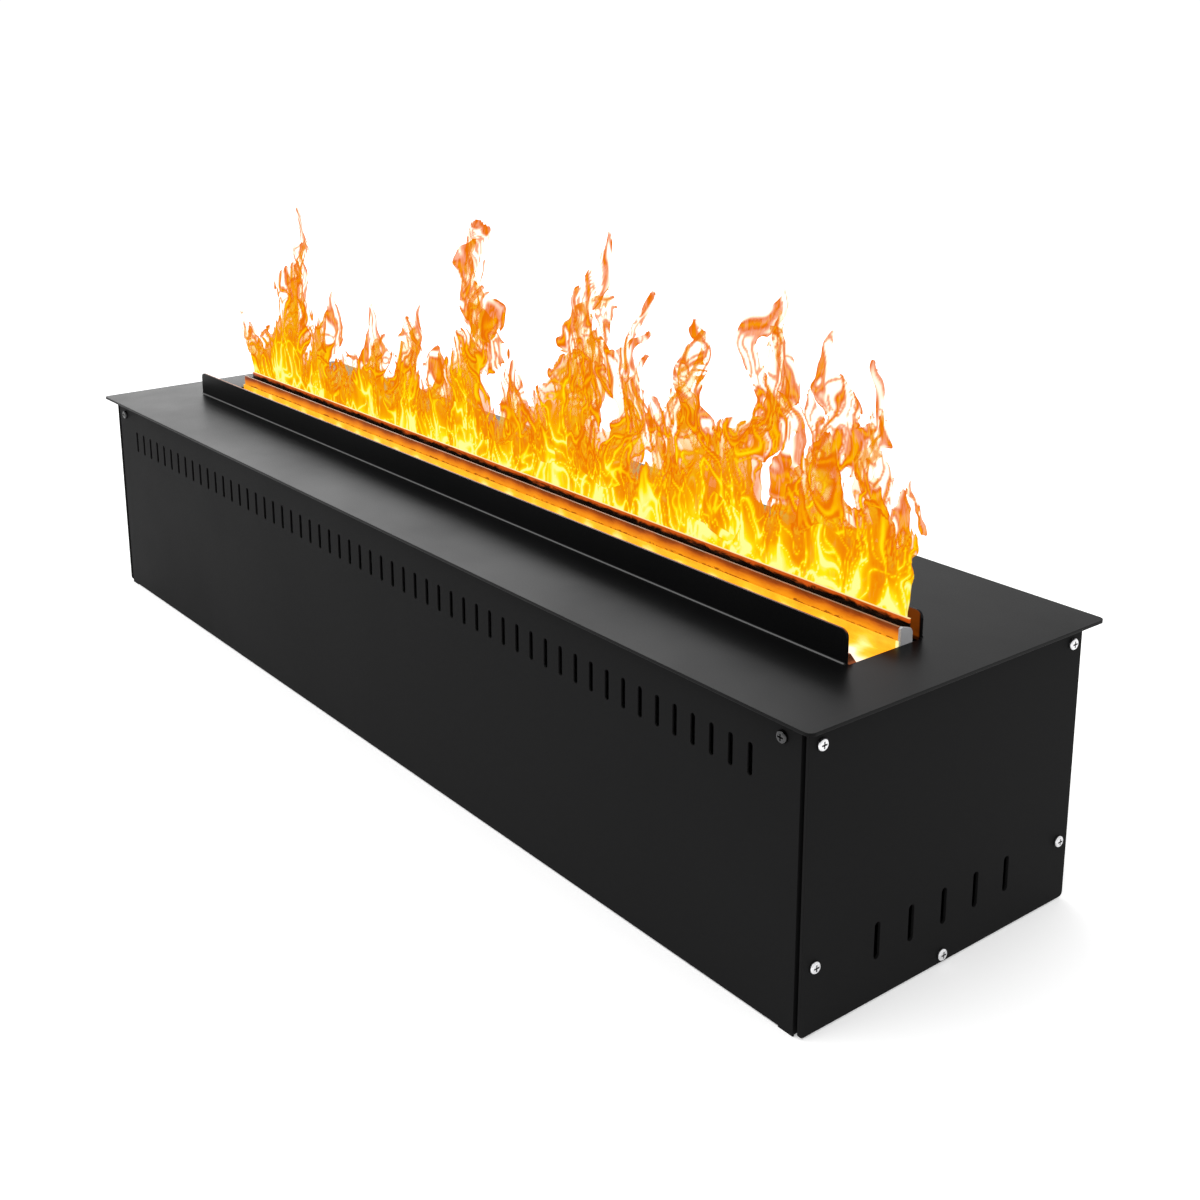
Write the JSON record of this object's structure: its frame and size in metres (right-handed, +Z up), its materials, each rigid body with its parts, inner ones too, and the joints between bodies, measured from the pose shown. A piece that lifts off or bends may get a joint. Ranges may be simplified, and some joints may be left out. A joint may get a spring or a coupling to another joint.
{
  "type": "electric fireplace",
  "caption": "Long black water-mist electric fireplace insert: flat rim plate over a vented steel casing, upstands along a lit trough and a mist nozzle slot with a flame-coloured plume.",
  "frame": {"origin": "bottom centre of the casing, on the floor that it stands on", "axes": "+X to the right end, -Y to the front, +Z up through the rim plate"},
  "size_m": [1, 0.27, 0.422],
  "materials": {
    "black_powder_coat": "fine satin black powder coat",
    "satin_rim": "satin charcoal-black powder coat with a soft sheen",
    "zinc_screw": "bright zinc plate, cross recess",
    "black_screw": "black-zinc plate, cross recess",
    "reflector": "bright rolled reflector sheet washed with amber light",
    "led_strip": "extruded strip, dull",
    "led_lens": "lit amber lens",
    "nozzle_steel": "heat-dulled stainless sheet catching amber light",
    "grey_cap": "moulded mid-grey plastic",
    "galvanised": "galvanised sheet",
    "tank_plastic": "natural grey polypropylene",
    "hood_plastic": "black vacuum-formed sheet",
    "gasket_rubber": "soft foam rubber",
    "module_steel": "bead-blasted stainless housing",
    "ceramic_disc": "glazed piezo ceramic",
    "float_foam": "white foamed plastic",
    "stem_steel": "turned stainless",
    "fan_plastic": "glass-filled black plastic",
    "supply_case": "perforated aluminium case",
    "circuit_green": "solder-masked circuit board",
    "component_black": "moulded component bodies",
    "nylon": "natural nylon",
    "switch_plastic": "moulded gloss black",
    "rocker_red": "translucent red, lit when on",
    "button_grey": "soft grey keycap",
    "brass": "turned brass",
    "valve_plastic": "moulded valve body",
    "clear_pipe": "pale polyethylene tube",
    "lever_red": "red dipped lever",
    "lit_mist": "translucent orange light in rising mist"
  },
  "bodies": {
    "casing": {"front_panel": "black_powder_coat", "rear_panel": "black_powder_coat", "end_panel_left": "black_powder_coat", "end_panel_right": "black_powder_coat", "base_pan": "black_powder_coat", "end_frame_left": "black_powder_coat", "end_frame_right": "black_powder_coat", "top_plate": "satin_rim", "plate_rail_front": "galvanised", "plate_rail_rear": "galvanised", "tank_rests": "galvanised", "panel_screws": "black_screw", "end_screws_left": "zinc_screw", "end_screws_right": "zinc_screw", "led_trough": "reflector", "led_bar": "led_strip", "led_chips": "led_lens", "nozzle_front_wall": "nozzle_steel", "nozzle_rear_wall": "nozzle_steel", "nozzle_end_caps": "grey_cap", "gap_baffle": "black_powder_coat", "water_tank": "tank_plastic", "mist_hood": "hood_plastic", "hood_gasket": "gasket_rubber", "mist_maker_1": "module_steel", "mist_maker_2": "module_steel", "mist_maker_3": "module_steel", "transducer_discs": "ceramic_disc", "float_stems": "stem_steel", "fan_frame_1": "fan_plastic", "fan_frame_2": "fan_plastic", "fan_frame_3": "fan_plastic", "fan_frame_4": "fan_plastic", "power_supply": "supply_case", "control_board": "circuit_green", "led_driver_board": "circuit_green", "board_components": "component_black", "board_standoffs": "nylon", "power_inlet": "switch_plastic", "rocker_housing": "switch_plastic", "button_panel": "switch_plastic", "power_pins": "brass", "water_inlet": "brass", "fill_valve": "valve_plastic", "drain_valve": "valve_plastic", "fill_pipe": "clear_pipe", "drain_pipe": "clear_pipe", "mist_flames": "lit_mist"},
    "button_1": {"button_1": "button_grey"},
    "button_2": {"button_2": "button_grey"},
    "button_3": {"button_3": "button_grey"},
    "drain_lever": {"drain_lever": "lever_red"},
    "fan_rotor_1": {"fan_rotor_1": "fan_plastic"},
    "fan_rotor_2": {"fan_rotor_2": "fan_plastic"},
    "fan_rotor_3": {"fan_rotor_3": "fan_plastic"},
    "fan_rotor_4": {"fan_rotor_4": "fan_plastic"},
    "float_high": {"float_high": "float_foam"},
    "float_low": {"float_low": "float_foam"},
    "rocker": {"rocker": "rocker_red"}
  },
  "joints": [
    {"name": "fan_spin_1", "type": "hinge", "parent": "casing", "child": "fan_rotor_1", "pos_m": [-0.25125, 0.061, 0.1105], "axis": [0, 1, 0], "continuous": true},
    {"name": "fan_spin_2", "type": "hinge", "parent": "casing", "child": "fan_rotor_2", "pos_m": [-0.08375, 0.061, 0.1105], "axis": [0, 1, 0], "continuous": true},
    {"name": "fan_spin_3", "type": "hinge", "parent": "casing", "child": "fan_rotor_3", "pos_m": [0.08375, 0.061, 0.1105], "axis": [0, 1, 0], "continuous": true},
    {"name": "fan_spin_4", "type": "hinge", "parent": "casing", "child": "fan_rotor_4", "pos_m": [0.25125, 0.061, 0.1105], "axis": [0, 1, 0], "continuous": true},
    {"name": "low_float_rise", "type": "slide", "parent": "casing", "child": "float_low", "axis": [0, 0, 1], "range_m": [0, 0.012]},
    {"name": "high_float_rise", "type": "slide", "parent": "casing", "child": "float_high", "axis": [0, 0, 1], "range_m": [0, 0.012]},
    {"name": "rocker_tip", "type": "hinge", "parent": "casing", "child": "rocker", "pos_m": [-0.49, -0.072, 0.1], "axis": [0, 0, 1], "range_deg": [0, 20]},
    {"name": "button_press_1", "type": "slide", "parent": "casing", "child": "button_1", "axis": [1, 0, 0], "range_m": [0, 0.001], "stiffness_N_per_m": 800, "springref_m": -0.0005},
    {"name": "button_press_2", "type": "slide", "parent": "casing", "child": "button_2", "axis": [1, 0, 0], "range_m": [0, 0.001], "stiffness_N_per_m": 800, "springref_m": -0.0005},
    {"name": "button_press_3", "type": "slide", "parent": "casing", "child": "button_3", "axis": [1, 0, 0], "range_m": [0, 0.001], "stiffness_N_per_m": 800, "springref_m": -0.0005},
    {"name": "drain_turn", "type": "hinge", "parent": "casing", "child": "drain_lever", "pos_m": [-0.49, -0.02, 0.054], "axis": [1, 0, 0], "range_deg": [0, 90]}
  ]
}
